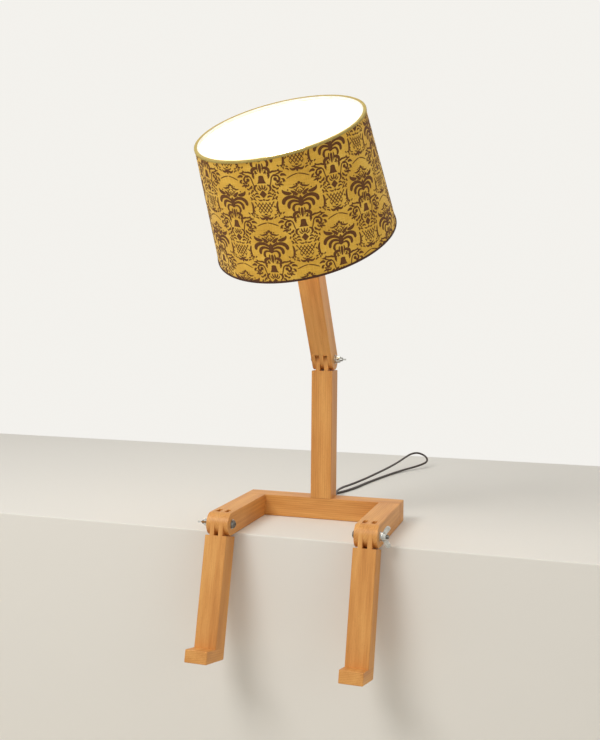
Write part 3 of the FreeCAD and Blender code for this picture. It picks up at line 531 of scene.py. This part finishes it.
def palmette():
    """A fan of drooping leaves with a bud, a crown over it and a stem below."""
    half = [
        # three leaves that spread from the bud and droop to heavy tips, the largest uppermost
        stroke([(1.6, 2.2), (7.2, 5.2), (13.2, 5.2), (17.8, 2.2), (18.6, -2.6)], 5.4, swelling),
        stroke([(1.8, -0.8), (7.0, 1.0), (10.8, 0.2), (13.2, -2.8), (13.0, -7.4)], 4.6, swelling),
        stroke([(1.8, -3.6), (5.8, -3.2), (8.0, -4.8), (8.9, -7.8), (7.6, -11.0)], 3.6, swelling),
        # the crown: horns, brows and an openwork fan
        stroke([(8.6, 9.2), (12.0, 9.4), (15.2, 10.2), (17.6, 11.8), (18.6, 14.4)], 4.0),
        stroke([(3.0, 6.2), (5.6, 9.2), (9.8, 12.4)], 3.6),
        stroke([(0.8, 17.6), (4.4, 16.2), (8.2, 15.2), (11.2, 16.2)], 2.0),
        stroke([(0.5, 15.4), (3.2, 13.2), (4.4, 10.6)], 1.1, even, 5),
        stroke([(6.4, 14.0), (3.4, 11.2), (0.6, 9.2)], 1.0, even, 5),
        stroke([(0.4, 12.6), (1.8, 10.2), (2.2, 7.2)], 1.0, even, 5),
        dot(2.6, 18.6, 2.4), dot(5.4, 18.2, 1.3), dot(3.0, 15.5, 1.1), dot(7.2, 7.4, 1.4), dot(12.6, 13.2, 1.6),
        # the stem and its drooping pair
        stroke([(2.6, -6.8), (3.2, -10.6), (2.2, -16.4)], 1.7),
        stroke([(1.8, -12.6), (5.4, -12.0), (8.6, -13.8), (9.0, -17.6), (7.0, -21.6)], 3.6),
        stroke([(4.0, -14.6), (5.6, -16.4), (5.0, -19.0)], 1.5),
    ]
    middle = [stroke([(0, -5.8), (0, 6.4)], 5.8, bud, 10), stroke([(0, 7.2), (0, 11.0)], 1.7, leaf, 5),
              dot(0, 19.8, 3.2), stroke([(0, -6.8), (0, -18.0)], 3.2, leaf, 6)]
    return both_sides(half) + middle


def surround():
    """A pointed roof over a palmette's clear ground, and leaves and a bar down each side of it."""
    half = [
        stroke([(0.0, 29.8), (6.0, 28.4), (12.4, 25.6)], 1.1, even, 5),
        stroke([(24.4, 2.6), (25.8, -3.0), (25.0, -9.0), (22.6, -13.6)], 2.5),
        stroke([(22.2, -16.2), (19.8, -18.4), (16.2, -19.2)], 1.9),
        stroke([(15.4, -15.6), (18.2, -16.0), (20.4, -14.0)], 1.5),
        stroke([(13.0, -19.6), (14.8, -21.2), (17.4, -21.6)], 1.4),
    ]
    half += sprig([(14.8, 25.0), (19.6, 21.0), (23.2, 14.0), (24.8, 5.0)], 6, 3.6, 1.8, 34)
    half += sprig([(18.6, 27.8), (24.0, 22.0), (27.4, 14.0), (28.8, 5.0), (28.8, -5.0)], 9, 3.2, 1.6, 40)
    return both_sides(half)


def lace():
    """Threads that slope one way across a panel narrowing downwards; their mirror images make the net."""
    top, depth, half_width, narrowing, slope = -25.4, 12.2, 10.6, 0.33, 0.75
    threads, first_start, apart = 6, -14.4, 3.9
    made = []
    for k in range(threads):
        start = first_start + apart * k
        first = max(0.0, -(half_width + start) / (slope - narrowing))
        last = min(depth, (half_width - start) / (slope + narrowing))
        ends = [(start + slope * down, top - down) for down in (first, last)]
        made.append(stroke(ends, 1.0, even, 4))
    return made


def bell():
    """A bell between two scrolls, over a shield, a panel of lace and a fleuron."""
    half = [
        # the scroll, its eye and the leaves round it
        stroke([(5.8, -6.0), (8.6, -7.2), (10.0, -3.6), (11.6, 1.8), (15.2, 4.0), (18.8, 1.8), (19.2, -2.4),
                (16.4, -4.6)], 2.2, curl, 20),
        dot(15.0, -0.6, 3.8),
        stroke([(6.8, 7.0), (8.8, 4.2), (7.6, 0.2)], 2.3),
        stroke([(3.0, 6.2), (5.2, 7.6), (6.0, 10.2)], 1.6),
        stroke([(20.6, 2.6), (23.6, 3.6), (27.4, 1.8)], 3.0),
        stroke([(15.8, -7.4), (19.4, -6.6), (23.6, -8.0)], 2.5),
        stroke([(21.6, -0.8), (24.2, -2.0), (25.2, -4.8)], 2.0),
        stroke([(11.2, -6.6), (12.8, -9.2), (16.2, -10.8)], 2.2),
        stroke([(9.8, 6.0), (13.2, 7.8), (17.2, 7.2)], 2.2),
        stroke([(18.4, 9.6), (21.0, 6.8), (24.6, 7.0)], 1.9),
        # the shield and the fan in it
        stroke([(5.2, -6.4), (8.4, -7.8), (8.6, -11.4), (5.8, -14.0)], 2.5),
        stroke([(0.7, -11.4), (2.6, -9.2), (3.4, -6.0)], 1.8),
        stroke([(1.6, -12.4), (4.4, -11.0), (5.4, -8.4)], 1.4),
        stroke([(5.0, -16.2), (7.2, -15.2), (9.6, -16.8)], 2.1),
        stroke([(4.0, -20.2), (6.6, -18.6), (9.8, -19.6)], 2.0),
        stroke([(1.4, -22.6), (4.2, -23.2), (6.8, -21.8)], 1.6),
        stroke([(8.6, -23.2), (10.6, -21.4), (11.0, -18.8)], 1.5),
        # the fleuron
        stroke([(0.6, -40.8), (2.6, -43.4), (5.6, -43.6), (7.8, -41.4)], 2.7),
        stroke([(1.4, -40.4), (3.8, -40.6), (5.4, -39.0)], 1.4),
        stroke([(8.6, -44.0), (10.4, -42.0), (12.8, -42.0)], 1.6),
    ]
    half += sprig([(10.8, -11.2), (12.8, -16.0), (13.2, -23.0)], 4, 3.3, 1.7, 34)
    half += sprig([(13.6, -33.6), (12.6, -37.6), (10.4, -40.6)], 3, 3.2, 1.6, 34)
    half += sprig([(18.6, 13.8), (22.6, 12.6), (26.0, 9.8)], 3, 3.2, 1.6, 36) + lace()
    middle = [stroke([(0, 4.1), (0, -4.6)], 10.4, dome, 16), stroke([(0, -11.2), (0, -5.6)], 1.7),
              stroke([(0, -12.0), (0, -20.6)], 8.2, diamond, 6),
              stroke([(0, -21.0), (0, -24.0)], 2.6, diamond, 4),
              dot(0, -38.8, 3.4, 0.55), stroke([(0, -40.4), (0, -46.4)], 3.2, leaf, 6)]
    return [([(x, y - BELL_DROP) for x, y in left], [(x, y - BELL_DROP) for x, y in right])
            for left, right in both_sides(half) + middle]


def on_print(x, y):
    """A point of the print's own upright grid, in metres on the flat cloth."""
    across = FIRST_PALMETTE[0] + x * math.cos(PRINT_TURN) - y * math.sin(PRINT_TURN)
    up = FIRST_PALMETTE[1] + x * math.sin(PRINT_TURN) + y * math.cos(PRINT_TURN)
    return across * MM, up * MM


def print_cloth():
    """One mesh of every stroke on the cloth, cut at the rims and the lap, then rolled on to the cover."""
    motif = palmette() + surround() + bell()
    corners, faces = [], []
    for row in range(-4, 6):
        for column in range(-6, 6):
            across, up = (column + 0.5 * (row % 2)) * REPEAT_ACROSS, row * REPEAT_DOWN / 2
            round_drum, height = off_cut(*on_print(across, up))
            if not SHADE_LOW - CLEAR_BELOW < height < SHADE_HIGH + CLEAR_ABOVE or abs(round_drum) > CLEAR_ROUND:
                continue
            for left, right in motif:
                first = len(corners)
                for k, (a, b) in enumerate(zip(left, right)):
                    corners += [off_cut(*on_print(across + x, up + y)) for x, y in (a, b)]
                    if k:
                        step = first + 2 * k
                        faces.append((step - 2, step - 1, step + 1, step))
    mesh = bpy.data.meshes.new("shade_print")
    mesh.from_pydata([(angle, height * DECIMETRES, 0) for angle, height in corners], [], faces)
    piece = linked("shade_print", mesh)
    take(piece)
    cuts = [((0, (SHADE_HIGH - HEM) * DECIMETRES, 0), (0, 1, 0)),
            ((0, (SHADE_LOW + HEM) * DECIMETRES, 0), (0, -1, 0)),
            ((math.pi + LAP, 0, 0), (1, 0, 0)), ((-math.pi + LAP, 0, 0), (-1, 0, 0))]
    bpy.ops.object.mode_set(mode="EDIT")
    for place, way in cuts:
        bpy.ops.mesh.select_all(action="SELECT")
        bpy.ops.mesh.bisect(plane_co=place, plane_no=way, clear_outer=True, threshold=1e-6)
    bpy.ops.object.mode_set(mode="OBJECT")
    roll_up(piece, [(v.co.x, v.co.y / DECIMETRES) for v in mesh.vertices], PRINT_LIFT)
    piece.data.materials.append(brown_ink())
    return piece


printed = print_cloth()
smooth(printed, 60)
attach(printed, "neck")


def rim_tape(name, rim, way, leg, finish):
    """A tape folded over the shade's rim: a leg down the cloth, a rounded fold and a leg over the rim."""
    # millimetres beyond the drum and above the rim
    profile = [(0.35, -leg), (0.72, 0.1 - leg), (0.80, -0.6), (0.68, 0.15), (0.20, 0.48), (-1.3, 0.50),
               (-2.5, 0.42), (-2.8, 0.10), (-1.3, 0.08), (0.12, 0.07), (0.38, -0.2)]
    mesh = bpy.data.meshes.new(name)
    corners = [(drum_radius(rim + way * up * MM) + out * MM, 0, rim + way * up * MM) for out, up in profile]
    mesh.from_pydata(corners, [(k, (k + 1) % len(corners)) for k in range(len(corners))], [])
    piece = linked(name + "_folded", mesh)
    take(piece)
    bpy.ops.object.mode_set(mode="EDIT")
    bpy.ops.mesh.select_all(action="SELECT")
    bpy.ops.mesh.spin(steps=180, angle=2 * math.pi, center=(0, 0, 0), axis=(0, 0, 1))
    bpy.ops.mesh.select_all(action="SELECT")
    bpy.ops.mesh.remove_doubles(threshold=1e-6)
    bpy.ops.mesh.normals_make_consistent(inside=False)
    bpy.ops.object.mode_set(mode="OBJECT")
    cloth = piece.data.uv_layers.new(name="cloth")
    for loop in piece.data.loops:
        x, y, z = piece.data.vertices[loop.vertex_index].co
        cloth.data[loop.index].uv = (math.atan2(y, x) * drum_radius(rim), z)
    piece.data.transform(HEAD)
    smooth(piece, 50)
    piece.data.materials.append(finish)
    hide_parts(name)
    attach(piece, "neck")


rim_tape("shade_top_binding", SHADE_HIGH, 1, 2.0, tape("olive_ochre_tape", "#CDB76C", "#A08840"))
rim_tape("shade_bottom_binding", SHADE_LOW, -1, 2.2, tape("dark_woven_tape", "#5A2E12", "#331A0A"))


# Cords

def cord_curve(name, points):
    """A round cord along a smooth NURBS line that the points steer."""
    line = bpy.data.curves.new(name, "CURVE")
    line.dimensions = "3D"
    spline = line.splines.new("NURBS")
    spline.points.add(len(points) - 1)
    for point, place in zip(spline.points, points):
        point.co = (*place, 1)
    spline.order_u = 3
    spline.use_endpoint_u = True
    line.resolution_u = 5
    return linked(name, line)


def round_out(piece):
    piece.data.bevel_depth = CORD / 2
    piece.data.bevel_resolution = 3
    piece.data.use_fill_caps = True
    piece.data.materials.append(brown_pvc)


def line_of(piece):
    """The points of a cord's own line, before it is rounded out."""
    mesh = bpy.data.meshes.new_from_object(piece)
    points = [tuple(v.co) for v in mesh.vertices]
    bpy.data.meshes.remove(mesh)
    return points


# millimetres: from the gland over the table and back to the coil, and from the coil's top to the plug
run = [
    (0, 38, 12), (0, 60, 12), (-7, 90, 10.5), (-17, 126, 8.5), (-20, 166, 7.4), (-14, 208, 5.6),
    (-4, 252, 6.6), (6, 298, 8.8), (16, 340, 11.5), (26, 382, 15.5), (33, 416, 20), (40, 440, 24),
    (50, 457, 24), (63.5, 459, 18), (69.5, 447, 10.5), (61, 427, 7), (48.5, 408, 4.4), (35, 384, 2.6),
    (21, 340, 1.8), (10.5, 294, 1.8), (1, 247, 1.8), (-6, 200, 1.8), (-18.5, 160, 1.8),
    (-35, 128, 1.8), (-47, 103, 1.8), (-50.4, 80, 1.8), (-50.4, 63.5, 1.8),
]
tail = [
    (-50.4, 56.5, 5.9), (-50.4, 47, 5.4), (-46, 35, 3.2), (-33, 27, 1.9), (-16, 27.5, 1.8),
    (-3, 34, 2.2), (4, 45, 4), (14, 51, 6.9), (24, 51, 6.9),
]


def coil_points():
    """Seven clockwise turns in two layers: in over 3.25 turns, a climb of half a turn, and out again."""
    points = []
    turns, per_turn = 7.0, 24
    climb_start, climb_turns = 3.25, 0.5
    centre_x, centre_y, lowest = -76, 60, 1.8
    outer_radius, pitch = 25.6, 4.1
    for k in range(int(turns * per_turn) + 1):
        done = k / per_turn
        radius = outer_radius - pitch * (turns / 2 - abs(done - turns / 2))
        share = min(max((done - climb_start) / climb_turns, 0.0), 1.0)
        angle = -2 * math.pi * done
        points.append((centre_x + radius * math.cos(angle), centre_y + radius * math.sin(angle),
                       lowest + pitch * (3 - 2 * share) * share ** 2))
    return points


flex = cord_curve("mains_cord", [tuple(c * MM for c in p) for p in run + coil_points() + tail])
round_out(flex)
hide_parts("cord_run", "cord_coil", "cord_tail")
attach(flex, "seat")

# the slack lead behind the waist, from the post's rear hole to the neck's
slack_places = [Vector((0, 15.5, 178)) * MM, Vector((0, 31, 178)) * MM, Vector((0, 42, 197)) * MM,
                Vector((0, 38, 234)) * MM, on_neck(0, 0.0315, 0.034), on_neck(0, 0.0155, 0.034)]
slack = cord_curve("slack_lead", [tuple(p) for p in slack_places])
slack_line = line_of(slack)
round_out(slack)
take(slack)
bpy.ops.object.convert(target="MESH")
slack = bpy.context.object
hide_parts("waist_lead")
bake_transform(slack)


# Stage: a pale step whose front edge is the table's, and a floor below it

TABLE_FRONT = -0.120
FLOOR = -0.42


def pale(name, code):
    """Plain matt off-white paint, a little uneven in its dullness."""
    made, tree, shader = finish_named(name)
    place = add(tree, "ShaderNodeTexCoord").outputs["Object"]
    grain = add(tree, "ShaderNodeTexNoise", {"Vector": place, "Scale": 300.0, "Detail": 3.0}).outputs["Fac"]
    rough = add(tree, "ShaderNodeMapRange", {"Value": grain, "To Min": 0.6, "To Max": 0.75}).outputs[0]
    tree.links.new(rough, shader.inputs["Roughness"])
    shader.inputs["Base Color"].default_value = paint(code)
    return made


def slab(name, low, high, finish):
    """A plain block of the stage between two corners, its edges eased."""
    centre =[(a + b) / 2 for a, b in zip(low, high)]
    bpy.ops.mesh.primitive_cube_add(size=1, location=centre)
    piece = bpy.context.object
    piece.name = name
    piece.scale = [b - a for a, b in zip(low, high)]
    bpy.ops.object.transform_apply(location=True, rotation=True, scale=True)
    bpy.ops.object.mode_set(mode="EDIT")
    bpy.ops.mesh.select_all(action="SELECT")
    bpy.ops.mesh.bevel(offset=0.0015, segments=2, affect="EDGES")
    bpy.ops.object.mode_set(mode="OBJECT")
    piece.data.materials.append(finish)


slab("table_step", (-1.6, TABLE_FRONT, FLOOR), (1.9, 0.569, -0.0002), pale("pale_table", "#E6E2DA"))
slab("lower_floor", (-3.2, -3.0, -0.46), (3.4, 3.2, FLOOR), pale("pale_floor", "#E6E2DA"))


# Light and camera

def soft_light(name, place, aim, size, power):
    made = bpy.data.lights.new(name, "AREA")
    made.shape = "DISK"
    made.size = size
    made.energy = power
    lamp = linked(name, made)
    lamp.location = place
    lamp.rotation_euler = (Vector(aim) - Vector(place)).to_track_quat("-Z", "Y").to_euler()


soft_light("key", (-0.9, -1.5, 1.7), (0, 0, 0.2), 1.2, 30)
soft_light("fill", (1.7, -1.0, 0.7), (0, 0, 0.2), 1.4, 4)
soft_light("top", (0.1, 0.2, 1.9), (0, -0.05, 0.1), 1.2, 6)

# the world lights plainly, and shows pale to the camera and in reflections
world = bpy.data.worlds.new("studio")
bpy.context.scene.world = world
world.use_nodes = True
seen = add(world.node_tree, "ShaderNodeLightPath").outputs
shown = add(world.node_tree, "ShaderNodeMath", {0: seen["Is Camera Ray"], 1: seen["Is Glossy Ray"]},
            operation="MAXIMUM").outputs[0]
shown = add(world.node_tree, "ShaderNodeMath", {0: shown, 1: seen["Is Transmission Ray"]},
            operation="MAXIMUM").outputs[0]
strength = add(world.node_tree, "ShaderNodeMapRange", {"Value": shown, "To Min": 0.42,
                                                       "To Max": 0.90}).outputs[0]
studio = world.node_tree.nodes["Background"]
studio.inputs["Color"].default_value = paint("#FFFDF8")
world.node_tree.links.new(strength, studio.inputs["Strength"])

# the camera's place, turn and lens are fitted to the corners of the sticks in the photograph
camera = linked("camera", bpy.data.cameras.new("camera"))
camera.data.lens = 42.31
camera.data.sensor_width = 36
camera.data.clip_start = 0.05
camera.data.clip_end = 20
yaw, pitch, roll = math.radians(17.38), math.radians(3.27), math.radians(0.47)
ahead = Vector((-math.sin(yaw) * math.cos(pitch), math.cos(yaw) * math.cos(pitch), -math.sin(pitch)))
level = Vector((math.cos(yaw), math.sin(yaw), 0))
upright = level.cross(ahead)
right = level * math.cos(roll) + upright * math.sin(roll)
up = upright * math.cos(roll) - level * math.sin(roll)
facing = Matrix((right, up, -ahead)).transposed().to_4x4()
camera.matrix_world = Matrix.Translation((0.31333, -1.11098, 0.26306)) @ facing
bpy.context.scene.camera = camera
bpy.context.scene.view_settings.view_transform = "Standard"
